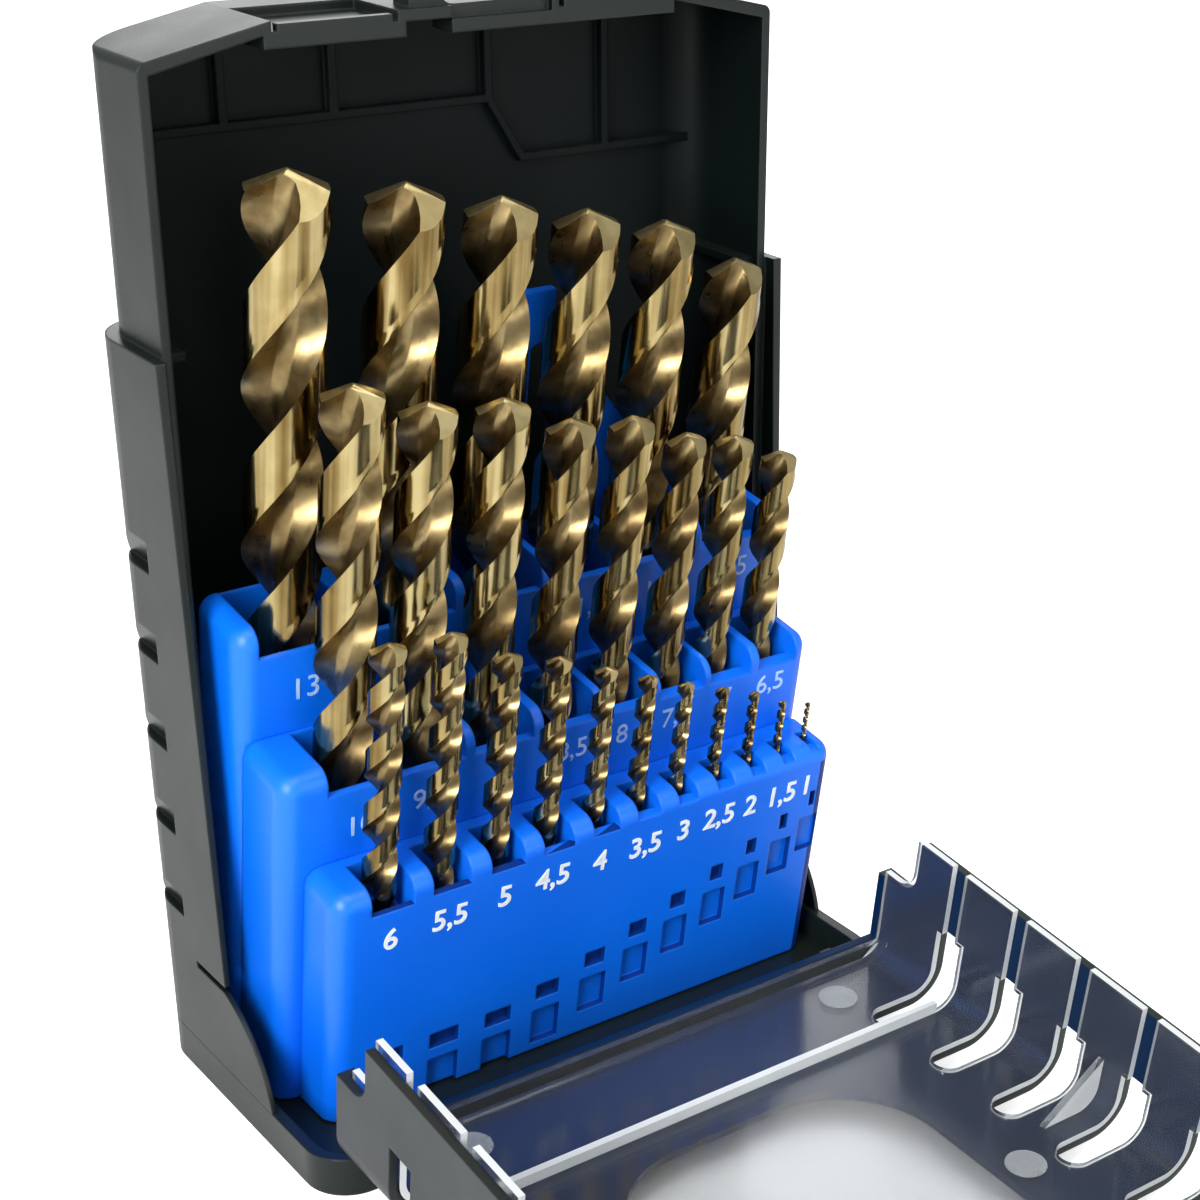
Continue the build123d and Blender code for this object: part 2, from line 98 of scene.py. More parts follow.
# the parts have to belong to the active object
def pickParts(kind, parts, test):
    bpy.ops.object.mode_set(mode="EDIT")
    bpy.ops.mesh.select_mode(type=kind)
    bpy.ops.mesh.select_all(action="DESELECT")
    bpy.ops.object.mode_set(mode="OBJECT")
    for part in parts:
        part.select = test(part)
    bpy.ops.object.mode_set(mode="EDIT")


def pickVerts(obj, test):
    pickParts("VERT", obj.data.vertices, test)


def pickFaces(obj, test):
    pickParts("FACE", obj.data.polygons, test)


def settle(obj, matrix=None):
    pick(obj)
    if matrix is not None:
        obj.matrix_world = matrix @ obj.matrix_world
    bpy.ops.object.transform_apply(location=True, rotation=True, scale=True)


def applyAll(obj):
    pick(obj)
    for m in list(obj.modifiers):
        bpy.ops.object.modifier_apply(modifier=m.name)


# most of a noise texture lies between these
noiseLow = 0.3
noiseHigh = 0.7
# waves per metre
noiseScale = {"drift": 18.0, "patch": 55.0, "sink": 30.0, "flow": 900.0, "steel": 120.0,
              "pin": 200.0, "pinLines": 1500.0, "ink": 420.0, "inkGrain": 2600.0,
              "floor": 30.0}
bumpHeight = {"sink": 0.6 * mm, "grain": 0.12 * mm, "flow": 0.1 * mm, "lines": 0.06 * mm}


def newMaterial(name):
    mat = bpy.data.materials.new(name)
    mat.use_nodes = True
    nodes = mat.node_tree.nodes
    shader = nodes["Principled BSDF"]
    coords = nodes.new("ShaderNodeTexCoord")
    return mat, nodes, mat.node_tree.links, shader, coords.outputs["Object"]


def noise(nodes, links, coords, scale, detail=3.0, rough=0.55, stretch=None):
    if stretch:
        mapping = nodes.new("ShaderNodeMapping")
        mapping.inputs["Scale"].default_value = stretch
        links.new(coords, mapping.inputs["Vector"])
        coords = mapping.outputs["Vector"]
    tex = nodes.new("ShaderNodeTexNoise")
    tex.inputs["Scale"].default_value = scale
    tex.inputs["Detail"].default_value = detail
    tex.inputs["Roughness"].default_value = rough
    links.new(coords, tex.inputs["Vector"])
    return tex.outputs["Fac"]


def ramp(nodes, links, value, stops):
    r = nodes.new("ShaderNodeValToRGB")
    r.color_ramp.elements[0].position = stops[0][0]
    r.color_ramp.elements[0].color = (*stops[0][1], 1)
    r.color_ramp.elements[1].position = stops[-1][0]
    r.color_ramp.elements[1].color = (*stops[-1][1], 1)
    for at, colour in stops[1:-1]:
        e = r.color_ramp.elements.new(at)
        e.color = (*colour, 1)
    links.new(value, r.inputs["Fac"])
    return r.outputs["Color"]


def twoTone(nodes, links, shader, value, dark, light):
    stops = [(noiseLow, dark), (noiseHigh, light)]
    links.new(ramp(nodes, links, value, stops), shader.inputs["Base Color"])


def spread(nodes, links, value, low, high):
    m = nodes.new("ShaderNodeMapRange")
    m.inputs["From Min"].default_value = noiseLow
    m.inputs["From Max"].default_value = noiseHigh
    m.inputs["To Min"].default_value = low
    m.inputs["To Max"].default_value = high
    links.new(value, m.inputs["Value"])
    return m.outputs["Result"]


def bump(nodes, links, height, strength, distance, under=None):
    b = nodes.new("ShaderNodeBump")
    b.inputs["Strength"].default_value = strength
    b.inputs["Distance"].default_value = distance
    links.new(height, b.inputs["Height"])
    if under is not None:
        links.new(under, b.inputs["Normal"])
    return b.outputs["Normal"]


def softEdge(nodes, radius):
    soft = nodes.new("ShaderNodeBevel")
    soft.samples = 4
    soft.inputs["Radius"].default_value = radius
    return soft.outputs["Normal"]


# moulded plastics; the edge radius is in mm and only softens the shading
plasticLooks = {
    "casePlastic": {"dark": (0.0046, 0.0082, 0.0070), "light": (0.0080, 0.0125, 0.0105),
                    "rough": (0.30, 0.38), "grain": 2600.0, "grainDepth": 0.24,
                    "wave": 0.05, "edge": 0.6, "shine": 0.36},
    # painted shade: a darker, less shiny copy of the case plastic for the shell's inside faces
    "caseInsideShade": {"dark": (0.0016, 0.0034, 0.0034), "light": (0.0030, 0.0056, 0.0056),
                   "rough": (0.40, 0.50), "grain": 2600.0, "grainDepth": 0.2,
                   "wave": 0.04, "edge": 0.5, "shine": 0.12},
    "lidPlastic": {"dark": (0.0105, 0.0142, 0.0138), "light": (0.0160, 0.0208, 0.0200),
                   "rough": (0.30, 0.40), "grain": 2600.0, "grainDepth": 0.22,
                   "wave": 0.05, "edge": 0.6, "shine": 0.36},
    # painted shade with a painted blue reflection: dark navy for the lid frame's inside faces,
    # seen through the liner
    "lidInsideBlueShade": {"dark": (0.0010, 0.0120, 0.0420), "light": (0.0020, 0.0170, 0.0560),
                  "rough": (0.40, 0.50), "grain": 2600.0, "grainDepth": 0.2,
                  "wave": 0.04, "edge": 0.5, "shine": 0.14},
    "holderBlue": {"dark": (0.0, 0.125, 0.76), "light": (0.0, 0.155, 0.86),
                   "rough": (0.36, 0.46), "grain": 3000.0, "grainDepth": 0.16,
                   "wave": 0.06, "edge": 0.7, "shine": 0.45},
    # painted shade: a darker copy of the holder blue for the walls of the sight recesses and
    # slots
    "holderRecessShade": {"dark": (0.0, 0.022, 0.17), "light": (0.0, 0.032, 0.23),
                   "rough": (0.46, 0.56), "grain": 3000.0, "grainDepth": 0.16,
                   "wave": 0.04, "edge": 0.2, "shine": 0.2},
}


# slow colour drift, a faint sink wave and fine spark-eroded grain
def mouldedPlastic(name, look):
    mat, nodes, links, shader, coords = newMaterial(name)
    drift = noise(nodes, links, coords, noiseScale["drift"], 2.0)
    twoTone(nodes, links, shader, drift, look["dark"], look["light"])
    patch = noise(nodes, links, coords, noiseScale["patch"])
    links.new(spread(nodes, links, patch, *look["rough"]), shader.inputs["Roughness"])
    soft = softEdge(nodes, look["edge"] * mm)
    sink = noise(nodes, links, coords, noiseScale["sink"], 1.0)
    slow = bump(nodes, links, sink, look["wave"], bumpHeight["sink"], soft)
    fine = noise(nodes, links, coords, look["grain"], 2.0, 0.6)
    links.new(bump(nodes, links, fine, look["grainDepth"], bumpHeight["grain"], slow),
              shader.inputs["Normal"])
    shader.inputs["IOR"].default_value = 1.49
    shader.inputs["Specular IOR Level"].default_value = look["shine"]
    return mat


plastics = {name: mouldedPlastic(name, look) for name, look in plasticLooks.items()}
blueShader = plastics["holderBlue"].node_tree.nodes["Principled BSDF"]
blueShader.inputs["Subsurface Weight"].default_value = 0.06
blueShader.inputs["Subsurface Radius"].default_value = (1 * mm, 2 * mm, 4 * mm)

# natural polypropylene: the clear liner, its cut edges, painted nearly white and less clear as a
# painted glow for the light that gathers there, and the round marks on its face
clearLooks = {
    "linerClear": {"dark": (0.90, 0.93, 0.95), "light": (0.97, 0.98, 0.99),
                   "cloud": (26.0, 3.0, 0.6, (1.0, 0.35, 1.0)), "rough": (0.08, 0.14),
                   "clear": 0.985, "bend": 1.33, "shine": 0.28, "flow": 0.06},
    "linerEdgeGlow": {"dark": (0.80, 0.84, 0.85), "light": (0.90, 0.93, 0.93),
                  "cloud": (60.0,), "rough": (0.28, 0.4),
                  "clear": 0.3, "bend": 1.38, "shine": 0.5, "flow": 0.0},
    "linerMark": {"dark": (0.80, 0.84, 0.86), "light": (0.90, 0.93, 0.94),
                  "cloud": (90.0,), "rough": (0.2, 0.32),
                  "clear": 0.78, "bend": 1.2, "shine": 0.5, "flow": 0.0},
}


def clearPlastic(name, look):
    mat, nodes, links, shader, coords = newMaterial(name)
    cloud = noise(nodes, links, coords, *look["cloud"])
    twoTone(nodes, links, shader, cloud, look["dark"], look["light"])
    links.new(spread(nodes, links, cloud, *look["rough"]), shader.inputs["Roughness"])
    if look["flow"]:
        fine = noise(nodes, links, coords, noiseScale["flow"], 2.0)
        links.new(bump(nodes, links, fine, look["flow"], bumpHeight["flow"]),
                  shader.inputs["Normal"])
    shader.inputs["Transmission Weight"].default_value = look["clear"]
    shader.inputs["IOR"].default_value = look["bend"]
    shader.inputs["Specular IOR Level"].default_value = look["shine"]
    return mat


clears = {name: clearPlastic(name, look) for name, look in clearLooks.items()}

# straw-coloured tool steel: lands with tempering bands, flutes and the ground point
metalLooks = {
    "drillLand": {"tones": [(0.36, (0.17, 0.108, 0.034)), (0.5, (0.34, 0.25, 0.10)),
                            (0.62, (0.52, 0.42, 0.20))],
                  "rough": (0.12, 0.20), "streak": 2200.0, "depth": 0.10, "bands": 420.0},
    "drillFlute": {"tones": [(0.36, (0.15, 0.10, 0.042)), (0.5, (0.23, 0.165, 0.072)),
                             (0.62, (0.34, 0.255, 0.12))],
                   "rough": (0.26, 0.38), "streak": 700.0, "depth": 0.07, "bands": 0.0},
    "drillFlank": {"tones": [(0.36, (0.32, 0.25, 0.115)), (0.5, (0.39, 0.31, 0.145)),
                             (0.62, (0.47, 0.38, 0.19))],
                   "rough": (0.34, 0.44), "streak": 1600.0, "depth": 0.2, "bands": 0.0},
}


# bands and grinding lines run along the drill
def groundMetal(name, look):
    mat, nodes, links, shader, coords = newMaterial(name)
    upright = nodes.new("ShaderNodeMapping")
    upright.inputs["Rotation"].default_value = (-holderLean, 0, 0)
    links.new(coords, upright.inputs["Vector"])
    coords = upright.outputs["Vector"]
    tone = noise(nodes, links, coords, noiseScale["steel"], 3.0, 0.6)
    if look["bands"]:
        band = noise(nodes, links, coords, look["bands"], 2.0, 0.5, (1.0, 1.0, 0.03))
        mix = nodes.new("ShaderNodeMix")
        mix.inputs["Factor"].default_value = 0.8
        links.new(tone, mix.inputs["A"])
        links.new(band, mix.inputs["B"])
        tone = mix.outputs["Result"]
    links.new(ramp(nodes, links, tone, look["tones"]), shader.inputs["Base Color"])
    lines = noise(nodes, links, coords, look["streak"], 2.0, 0.6, (1.0, 1.0, 0.06))
    links.new(spread(nodes, links, lines, *look["rough"]), shader.inputs["Roughness"])
    links.new(bump(nodes, links, lines, look["depth"], bumpHeight["lines"]),
              shader.inputs["Normal"])
    shader.inputs["Metallic"].default_value = 1.0
    return mat


drillMetals = [groundMetal(name, look) for name, look in metalLooks.items()]


# brushed across the hinge
def pinMetal():
    mat, nodes, links, shader, coords = newMaterial("pinSteel")
    tone = noise(nodes, links, coords, noiseScale["pin"])
    twoTone(nodes, links, shader, tone, (0.42, 0.42, 0.43), (0.6, 0.6, 0.6))
    lines = noise(nodes, links, coords, noiseScale["pinLines"], 2.0, 0.6, (0.05, 1.0, 1.0))
    links.new(spread(nodes, links, lines, 0.22, 0.38), shader.inputs["Roughness"])
    shader.inputs["Metallic"].default_value = 1.0
    return mat


def numberInk(name, dark, light):
    mat, nodes, links, shader, coords = newMaterial(name)
    tone = noise(nodes, links, coords, noiseScale["ink"])
    twoTone(nodes, links, shader, tone, dark, light)
    fine = noise(nodes, links, coords, noiseScale["inkGrain"], 2.0)
    links.new(spread(nodes, links, fine, 0.4, 0.55), shader.inputs["Roughness"])
    return mat


pinSteel = pinMetal()
numberWhite = numberInk("numberWhite", (0.72, 0.80, 0.88), (0.86, 0.91, 0.95))
numberPale = numberInk("numberPale", (0.30, 0.50, 0.86), (0.42, 0.60, 0.92))

cadMaterials = {"case_plastic": plastics["casePlastic"], "lid_plastic": plastics["lidPlastic"],
                "liner_clear": clears["linerClear"], "holder_blue": plastics["holderBlue"],
                "drill_bronze": drillMetals[0], "pin_steel": pinSteel}
slotOfNode = {s["node"]: s["material_slot"] for s in frame["record"]["subparts"]}
for nodeName, obj in frame["nodes"].items():
    obj.data.materials.clear()
    obj.data.materials.append(cadMaterials[slotOfNode[nodeName]])

liner = frame["nodes"]["lid_window"]
lid = frame["nodes"]["lid_frame"]
shell = frame["nodes"]["back_shell"]
front = frame["nodes"]["holder_front_tier"]
lidFloor = min((liner.matrix_world @ v.co).dot(lidUp) for v in liner.data.vertices)
frontPlaces = [size[1] for size in drillSizes.values() if size[0] == "front"]

# where the second materials, the painted glow and painted shade, start and end, in mm; along
# and height are measured from the hinge and from the lid's floor, and the slots' lower ends
# climb from drill to drill
linerFaces = {"rib": (26.6, 29.0), "ribHeight": 4.0, "fingers": 36.0, "rim": 50.0,
              "rimHeight": 11.0}
lidFaces = {"along": 4.0, "floorHeight": 6.0}
shellFaces = {"across": 55.5, "top": 175.5, "roof": 50.0}
sightFaces = {"front": -21.45, "wallEnd": -20.35, "back": -20.25, "low": 4.0, "high": 49.0,
              "wallReach": 3.3, "slotReach": 3.5, "slotHeight": 3.2,
              "lowest": 14.2, "first": 6.6, "climb": 3.3}


def lidSpot(obj, p):
    spot = obj.matrix_world @ p.center
    return (spot.x / mm, (spot - hingePlace).dot(lidLong) / mm,
            (spot.dot(lidUp) - lidFloor) / mm)


# thin edges that get the painted glow: faces across the lid's length in the fingers and the rib,
# and their tops
def isLinerGlowEdge(p):
    across, along, height = lidSpot(liner, p)
    onRib = linerFaces["rib"][0] < along < linerFaces["rib"][1]
    onTop = p.normal.dot(lidUp) > 0.85
    side = (abs(p.normal.dot(lidLong)) > 0.55
            and (abs(across) > linerFaces["fingers"] or onRib))
    rim = onTop and abs(across) > linerFaces["rim"] and height > linerFaces["rimHeight"]
    ribTop = onTop and onRib and height > linerFaces["ribHeight"]
    return side or rim or ribTop


# painted shade: picks the lid frame's inside faces for the dark navy
def isLidShadeFace(p):
    across, along, height = lidSpot(lid, p)
    if along < lidFaces["along"]:
        return False
    if abs(p.normal.x) > 0.5:
        return p.normal.x * across < 0
    return p.normal.dot(lidUp) > 0.5 and height < lidFaces["floorHeight"]


# painted shade: picks the shell's inside faces for the darker case plastic
def isShellShadeFace(p):
    spot = shell.matrix_world @ p.center / mm
    if abs(p.normal.x) > 0.5:
        return p.normal.x * spot.x < 0
    if p.normal.y < -0.5:
        return abs(spot.x) < shellFaces["across"] and spot.z < shellFaces["top"]
    return p.normal.z < -0.5 and spot.z > shellFaces["roof"]


# painted shade: walls of the sight recesses, and all of the slots above them, get a darker blue
def isSightShadeWall(p):
    look = sightFaces
    spot = tipped.inverted() @ (front.matrix_world @ p.center) / mm
    if not (look["front"] < spot.y < look["back"] and look["low"] < spot.z < look["high"]):
        return False
    if spot.y < look["wallEnd"]:
        return min(abs(spot.x - across) for across in frontPlaces) < look["wallReach"]
    for i, across in enumerate(frontPlaces):
        rise = spot.z - max(look["lowest"], look["first"] + i * look["climb"])
        if abs(spot.x - across) < look["slotReach"] and 0 < rise < look["slotHeight"]:
            return True
    return False


# second slots: painted glow on the liner's cut edges; painted shade on the shell's and the lid
# frame's inside faces (navy on the lid, for the blue holder's reflection) and on the sight
# recess walls
for obj, mat, test in ((liner, clears["linerEdgeGlow"], isLinerGlowEdge),
                       (shell, plastics["caseInsideShade"], isShellShadeFace),
                       (lid, plastics["lidInsideBlueShade"], isLidShadeFace),
                       (front, plastics["holderRecessShade"], isSightShadeWall)):
    obj.data.materials.append(mat)
    for p in obj.data.polygons:
        if test(p):
            p.material_index = 1
print("stage: materials")

drillLook = {
    "turnLength": 4.3,       # rise of a flute in one turn, in diameters
    "turnLengthSmall": 3.5,  # the same for small drills
    "smallUnder": 6.2,       # in mm
    "pointAngle": 130.0,
    "lipTurn": 184.0,        # where the near lip ends, in degrees from +X
    "landAngle": 78.0,
    "marginAngle": 9.0,
    "gashSlope": 52.5,       # the gash dips this steeply behind the lip
    "play": 0.03,            # between the shank and the socket's floor, in mm
    # shares of the drill's radius
    "landReach": 0.974,      # land behind the margin
    "fluteCentre": 1.118,    # the flute is a round hollow about this centre
    "fluteRadius": 0.918,
    "lipReach": 1.0005,      # the lip corner stands out a hair, so it can be found again
    "spare": 0.3,            # climb above the tip, which the point cuts off
    "gashOffset": 0.05,
    "shankReach": 0.985,
    "shankChamfer": 0.1,
    "noseLength": 2.2,
    "noseTip": 0.3,
    "fluteReach": 0.95,      # faces nearer to the axis have the flutes' finish
    "pointDepth": 2.0,       # faces nearer to the tip can have the point's finish
}
drillMesh = {"fineOver": 3.2, "fineSpokes": 64, "coarseSpokes": 32,
             "fineStep": 8, "coarseStep": 14, "coneSides": 64}


def sectionReach(angle):
    land = drillLook["landAngle"]
    if angle <= land + 0.01:
        return 1.0 if angle > land - drillLook["marginAngle"] else drillLook["landReach"]
    off = math.radians(angle - (180 + land) / 2)
    centre = drillLook["fluteCentre"]
    chord = drillLook["fluteRadius"] ** 2 - (centre * math.sin(off)) ** 2
    return centre * math.cos(off) - math.sqrt(max(chord, 0))


# a circle pulled in, spoke by spoke, to the section of the flutes
def fluteSection(radius, spokes):
    bpy.ops.mesh.primitive_circle_add(vertices=spokes, radius=radius, fill_type="NOTHING")
    obj = bpy.context.object
    half = spokes // 2
    lip = round(drillLook["landAngle"] / 180 * half)
    for k in range(half):
        pickVerts(obj, lambda v: v.index % half == k)
        # the land's angles are scaled so that its end falls on a spoke
        angle = k / lip * drillLook["landAngle"] if k <= lip else k / half * 180
        pull = drillLook["lipReach"] if k == lip else sectionReach(angle)
        bpy.ops.transform.resize(value=(pull, pull, 1), center_override=(0, 0, 0))
    bpy.ops.object.mode_set(mode="OBJECT")
    return obj


def turnTo(obj, angle):
    top = max(v.co.z for v in obj.data.vertices)
    rim = [v.co for v in obj.data.vertices if v.co.z > top - 1e-6]
    lip = max(rim, key=lambda co: Vector((co.x, co.y)).length)
    obj.rotation_euler = (0, 0, math.radians(angle) - math.atan2(lip.y, lip.x))
    settle(obj)


def sliceTop(obj, point, normal):
    pick(obj)
    bpy.ops.object.mode_set(mode="EDIT")
    bpy.ops.mesh.select_mode(type="VERT")
    bpy.ops.mesh.select_all(action="SELECT")
    bpy.ops.mesh.bisect(plane_co=point, plane_no=normal, use_fill=True, clear_outer=True)
    bpy.ops.object.mode_set(mode="OBJECT")


# the section climbs in a right-hand screw and its two ends are closed
def fluteBody(name, radius, flute, rise, spokes, stepAngle):
    obj = fluteSection(radius, spokes)
    obj.name = name
    twist = flute / rise * 2 * math.pi
    screw = obj.modifiers.new("climb", "SCREW")
    screw.axis = "Z"
    screw.angle = twist
    screw.screw_offset = flute + radius * drillLook["spare"]
    screw.steps = max(10, int(twist / math.radians(stepAngle)))
    screw.render_steps = screw.steps
    screw.use_smooth_shade = True
    applyAll(obj)
    bpy.ops.object.mode_set(mode="EDIT")
    bpy.ops.mesh.select_mode(type="EDGE")
    bpy.ops.mesh.select_all(action="DESELECT")
    bpy.ops.mesh.select_non_manifold(extend=False, use_wire=False, use_boundary=True,
                                     use_multi_face=False, use_non_contiguous=False,
                                     use_verts=False)
    bpy.ops.mesh.edge_face_add()
    bpy.ops.mesh.select_all(action="SELECT")
    bpy.ops.mesh.normals_make_consistent(inside=False)
    bpy.ops.object.mode_set(mode="OBJECT")
    return obj


# a wide cone trims the top, and a gash behind each lip thins the web and leaves a
# crescent on the land
def grindPoint(obj, radius, length, lipAngle):
    tall = length * 1.02
    wide = tall * math.tan(math.radians(drillLook["pointAngle"] / 2))
    clearSelection()
    bpy.ops.mesh.primitive_cone_add(vertices=drillMesh["coneSides"], radius1=wide, radius2=0,
                                    depth=tall, location=(0, 0, length - tall / 2))
    cone = bpy.context.object
    cut = obj.modifiers.new("point", "BOOLEAN")
    cut.operation = "INTERSECT"
    cut.solver = "EXACT"
    cut.object = cone
    applyAll(obj)
    bpy.data.objects.remove(cone)
    steep = math.tan(math.radians(drillLook["gashSlope"]))
    for half in (90, 270):
        dip = math.radians(lipAngle + half)
        dipWay = Vector((math.cos(dip), math.sin(dip), 0))
        sliceTop(obj, dipWay * radius * drillLook["gashOffset"] + Vector((0, 0, length)),
                 dipWay * steep + Vector((0, 0, 1)))


# its nose fills the flutes where they run out
def shankBody(radius, tall, spokes):
    clearSelection()
    bpy.ops.mesh.primitive_cylinder_add(vertices=spokes, radius=radius * drillLook["shankReach"],
                                        depth=tall, location=(0, 0, tall / 2))
    shank = bpy.context.object
    nose = radius * drillLook["noseLength"]
    tip = drillLook["noseTip"]
    pickFaces(shank, lambda p: p.normal.z > 0.9)
    bpy.ops.mesh.extrude_region_move(TRANSFORM_OT_translate={"value": (0, 0, nose)})
    bpy.ops.transform.resize(value=(tip, tip, 1), center_override=(0, 0, tall + nose))
    pickFaces(shank, lambda p: p.normal.z < -0.9)
    bpy.ops.mesh.bevel(offset=radius * drillLook["shankChamfer"], segments=2, affect="EDGES")
    bpy.ops.object.mode_set(mode="OBJECT")
    return shank


def finishFaces(obj, slot, test):
    pickFaces(obj, test)
    obj.active_material_index = slot
    bpy.ops.object.material_slot_assign()


def twistDrill(name, diameter, length, flute, turn):
    radius = diameter / 2 * mm
    length = length * mm
    flute = flute * mm
    grade = "fine" if diameter > drillMesh["fineOver"] else "coarse"
    spokes = drillMesh[grade + "Spokes"]
    size = "Small" if diameter <= drillLook["smallUnder"] else ""
    rise = drillLook["turnLength" + size] * diameter * mm
    obj = fluteBody(name, radius, flute, rise, spokes, drillMesh[grade + "Step"])
    obj.location = (0, 0, length - flute)
    settle(obj)
    # the section at the top lies above the lip corners, which the point cuts off lower down
    fall = radius / math.tan(math.radians(drillLook["pointAngle"] / 2))
    above = fall + radius * drillLook["spare"]
    lipAngle = drillLook["lipTurn"] + turn
    turnTo(obj, lipAngle + math.degrees(above / rise * 2 * math.pi))
    grindPoint(obj, radius, length, lipAngle)
    shank = shankBody(radius, length - flute, spokes)
    for mat in drillMetals:
        obj.data.materials.append(mat)
        shank.data.materials.append(mat)
    obj.data.polygons.foreach_set("material_index", [0] * len(obj.data.polygons))
    fluteReach = radius * drillLook["fluteReach"]
    pointFrom = length - radius * drillLook["pointDepth"]
    pick(obj)
    finishFaces(obj, 1, lambda p: p.center.xy.length < fluteReach and p.normal.z < 0.5)
    finishFaces(obj, 2, lambda p: p.normal.z > 0.5 and p.center.z > pointFrom)
    clearSelection()
    shank.select_set(True)
    obj.select_set(True)
    bpy.context.view_layer.objects.active = obj
    bpy.ops.object.join()
    bpy.ops.object.shade_smooth_by_angle(angle=math.radians(30))
    return obj


for i, (diameter, (row, across, floor, length, flute)) in enumerate(drillSizes.items()):
    sizeName = f"{diameter:.1f}".replace(".", "_")
    nodeName = "drill_" + sizeName
    # each drill stands turned a little differently from its neighbours
    turn = (i * 37) % 17 - 8
    piece = twistDrill("twistDrill" + sizeName, diameter, length, flute, turn)
    seat = (across * mm, rowAxis[row] * mm, (floor + drillLook["play"]) * mm)
    settle(piece, tipped @ Matrix.Translation(seat))
    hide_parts(nodeName)
    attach(piece, nodeName)
print("stage: drills")

# size numbers: place across and height of each, in mm on the upright holder
numberRows = {
    "Front": {
        "height": 4.2, "face": -21.5, "slant": 0.06, "weight": 0.018, "ink": numberWhite,
        "words": {"6": (-39.0, 41.5), "5,5": (-27.7, 41.9), "5": (-17.0, 42.4),
                  "4,5": (-7.4, 43.0), "4": (2.3, 43.0), "3,5": (11.9, 43.2),
                  "3": (20.1, 43.7), "2,5": (28.0, 44.1), "2": (35.0, 44.2),
                  "1,5": (42.1, 44.3), "1": (47.9, 44.5)},
    },
    "Middle": {
        "height": 3.9, "face": -10.5, "slant": 0.0, "weight": 0.0, "ink": numberPale,
        "words": {"10": (-39.0, 57.7), "9,5": (-26.0, 59.1), "9": (-12.0, 59.5),
                  "8,5": (2.2, 59.9), "8": (12.6, 60.0), "7,5": (24.2, 60.4),
                  "7": (35.0, 61.2), "6,5": (45.3, 61.5)},
    },
    "Back": {
        "height": 4.1, "face": 3.5, "slant": 0.0, "weight": 0.0, "ink": numberPale,
        "words": {"13": (-41.8, 77.1), "12,5": (-22.4, 77.5), "12": (-4.7, 77.8),
                  "11,5": (12.0, 78.4), "11": (27.4, 78.2), "10,5": (43.2, 78.6)},
    },
}
# font size per height of a digit, then in mm: half the thickness, and how far the middle of
# a number lies in front of the face
numberForm = {"sizePerHeight": 1.38, "halfDepth": 0.12, "proud": 0.02, "curve": 4}


def numberPiece(name, words, look):
    clearSelection()
    bpy.ops.object.text_add(location=(0, 0, 0))
    obj = bpy.context.object
    obj.name = name
    text = obj.data
    text.body = words
    text.size = look["height"] * numberForm["sizePerHeight"] * mm
    text.align_x = "CENTER"
    text.align_y = "CENTER"
    text.shear = look["slant"]
    text.offset = look["weight"] * look["height"] * mm
    text.extrude = numberForm["halfDepth"] * mm
    text.resolution_u = numberForm["curve"]
    bpy.ops.object.convert(target="MESH")
    obj = bpy.context.object
    obj.data.materials.clear()
    obj.data.materials.append(look["ink"])
    return obj


for rowName, look in numberRows.items():
    for words, (across, up) in look["words"].items():
        piece = numberPiece("number" + rowName + words.replace(",", "_"), words, look)
        away = look["face"] - numberForm["proud"]
        stand = Matrix.Translation((across * mm, away * mm, up * mm))
        settle(piece, tipped @ stand @ Matrix.Rotation(math.radians(90), 4, "X"))
        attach(piece, "holder")
print("stage: numbers")

# shallow round marks on the liner's face, placed on the shut lid, in mm
ejectorMarks = {"radius": 3.5, "height": 0.14, "sunk": 0.02, "lip": 0.5, "dent": 0.08,
                "dentWall": 0.4, "faceAt": -28.29, "taper": 4.28,
                "spots": [(38.4, 18.4), (33.6, 72.5)]}


def ejectorMark(name, across, up):
    clearSelection()
    bpy.ops.mesh.primitive_cylinder_add(vertices=64, radius=ejectorMarks["radius"] * mm,
                                        depth=ejectorMarks["height"] * mm,
                                        location=(0, 0, 0))
    obj = bpy.context.object
    obj.name = name
    pickFaces(obj, lambda p: p.normal.z > 0.9)
    bpy.ops.mesh.inset(thickness=ejectorMarks["lip"] * mm)
    bpy.ops.transform.translate(value=(0, 0, -ejectorMarks["dent"] * mm))
    bpy.ops.mesh.inset(thickness=ejectorMarks["dentWall"] * mm)
    bpy.ops.object.mode_set(mode="OBJECT")
    obj.data.materials.append(clears["linerMark"])
    slope = math.radians(ejectorMarks["taper"])
    face = ejectorMarks["faceAt"] + up * math.tan(slope)
    place = Vector((across * mm, face * mm, up * mm))
    place.y += (ejectorMarks["height"] / 2 - ejectorMarks["sunk"]) * mm
    turn = Matrix.Rotation(math.radians(-90) - slope, 4, "X")
    settle(obj, foldOpen @ Matrix.Translation(place) @ turn)
    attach(obj, "lid")


for i, (across, up) in enumerate(ejectorMarks["spots"]):
    ejectorMark(f"ejectorMarkRight{i}", across, up)
    ejectorMark(f"ejectorMarkLeft{i}", -across, up)
print("stage: ejector marks")

view = {"lens": 69.26, "sensor": 36, "nearest": 0.01,
        "place": (-0.194172, -0.320621, 0.234269),
        "turn": -0.664074, "down": 0.434028, "roll": 0.022894,
        "shiftX": -0.1258, "shiftY": 0.0805}
studio = {"floorSize": 6, "floorDrop": 0.2 * mm, "floorGlow": 0.62,
          "backdrop": (0.96, 0.98, 1.0, 1), "backdropLevel": 1.0, "fillLevel": 0.42}
# place, aim, width, height and power of each lamp
softboxes = {
    "keyLeft": ((-1.1, -0.68, 0.7), (0, -0.03, 0.09), 0.5, 1.0, 26.0),
    "topBank": ((0.1, -0.5, 1.4), (0, -0.05, 0.05), 1.0, 0.7, 10.0),
    "backFill": ((0.7, 1.2, 0.8), (0, 0, 0.09), 0.8, 0.8, 5.0),
    "frontRight": ((0.55, -1.35, 0.55), (0, -0.03, 0.08), 0.35, 0.9, 3.5),
}

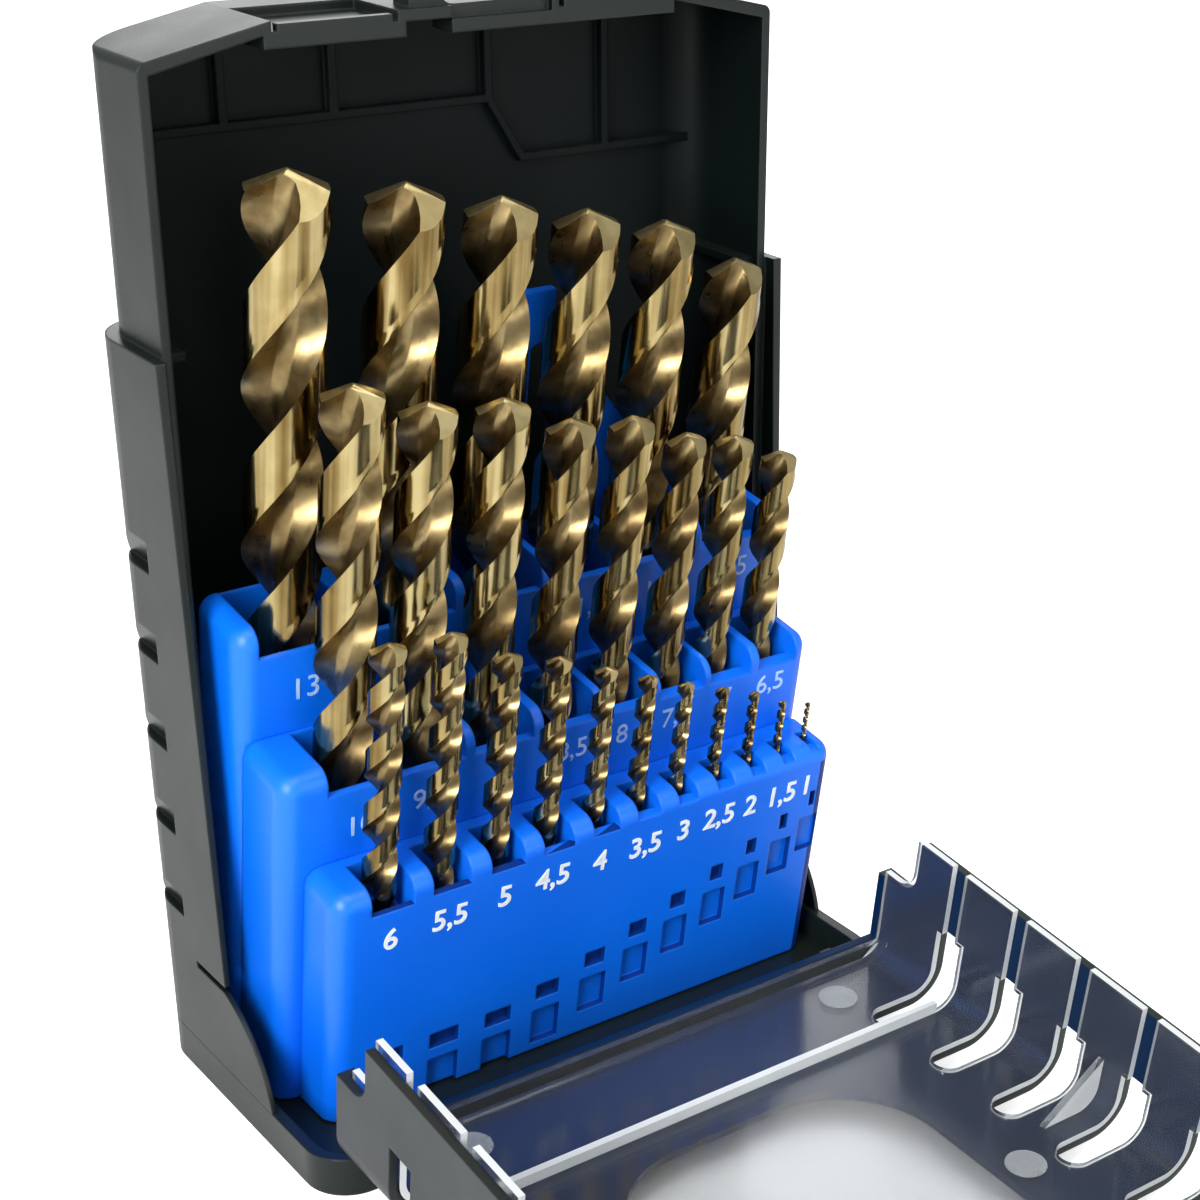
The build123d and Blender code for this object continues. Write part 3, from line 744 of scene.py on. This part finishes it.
lens = bpy.data.cameras.new("viewCamera")
camera = bpy.data.objects.new("viewCamera", lens)
bpy.context.scene.collection.objects.link(camera)
lookWay = Vector((-math.sin(view["turn"]) * math.cos(view["down"]),
                  math.cos(view["turn"]) * math.cos(view["down"]), -math.sin(view["down"])))
level = Vector((math.cos(view["turn"]), math.sin(view["turn"]), 0))
above = level.cross(lookWay)
rightWay = level * math.cos(view["roll"]) + above * math.sin(view["roll"])
upWay = above * math.cos(view["roll"]) - level * math.sin(view["roll"])
turned = Matrix((rightWay, upWay, -lookWay)).transposed().to_4x4()
camera.matrix_world = Matrix.Translation(view["place"]) @ turned
lens.lens = view["lens"]
lens.sensor_width = view["sensor"]
lens.sensor_fit = "HORIZONTAL"
lens.shift_x = view["shiftX"]
lens.shift_y = view["shiftY"]
lens.clip_start = view["nearest"]
bpy.context.scene.camera = camera
bpy.context.scene.view_settings.view_transform = "Standard"

clearSelection()
bpy.ops.mesh.primitive_plane_add(size=studio["floorSize"], location=(0, 0, -studio["floorDrop"]))
floorPlane = bpy.context.object
floorPlane.name = "floorPlane"
floorWhite, nodes, links, shader, coords = newMaterial("floorWhite")
shader.inputs["Roughness"].default_value = 0.9
grain = noise(nodes, links, coords, noiseScale["floor"], 2.0)
twoTone(nodes, links, shader, grain, (0.90, 0.90, 0.90), (0.92, 0.92, 0.92))
# the floor looks white from above and keeps its shadow
rays = nodes.new("ShaderNodeLightPath")
glow = nodes.new("ShaderNodeMath")
glow.operation = "MULTIPLY"
glow.inputs[1].default_value = studio["floorGlow"]
links.new(rays.outputs["Is Camera Ray"], glow.inputs[0])
shader.inputs["Emission Color"].default_value = (1, 1, 1, 1)
links.new(glow.outputs[0], shader.inputs["Emission Strength"])
floorPlane.data.materials.append(floorWhite)

world = bpy.data.worlds.new("studio")
bpy.context.scene.world = world
world.use_nodes = True
nodes = world.node_tree.nodes
links = world.node_tree.links
backdrop = nodes["Background"]
backdrop.inputs["Color"].default_value = studio["backdrop"]
rays = nodes.new("ShaderNodeLightPath")
strength = nodes.new("ShaderNodeMapRange")
strength.inputs["To Min"].default_value = studio["fillLevel"]
strength.inputs["To Max"].default_value = studio["backdropLevel"]
links.new(rays.outputs["Is Camera Ray"], strength.inputs["Value"])
links.new(strength.outputs["Result"], backdrop.inputs["Strength"])

for name, (place, aim, width, height, watts) in softboxes.items():
    data = bpy.data.lights.new(name, "AREA")
    data.shape = "RECTANGLE"
    data.size = width
    data.size_y = height
    data.energy = watts
    lamp = bpy.data.objects.new(name, data)
    bpy.context.scene.collection.objects.link(lamp)
    lamp.location = place
    lamp.rotation_euler = (Vector(aim) - Vector(place)).to_track_quat("-Z", "Y").to_euler()
print("stage: camera and light")
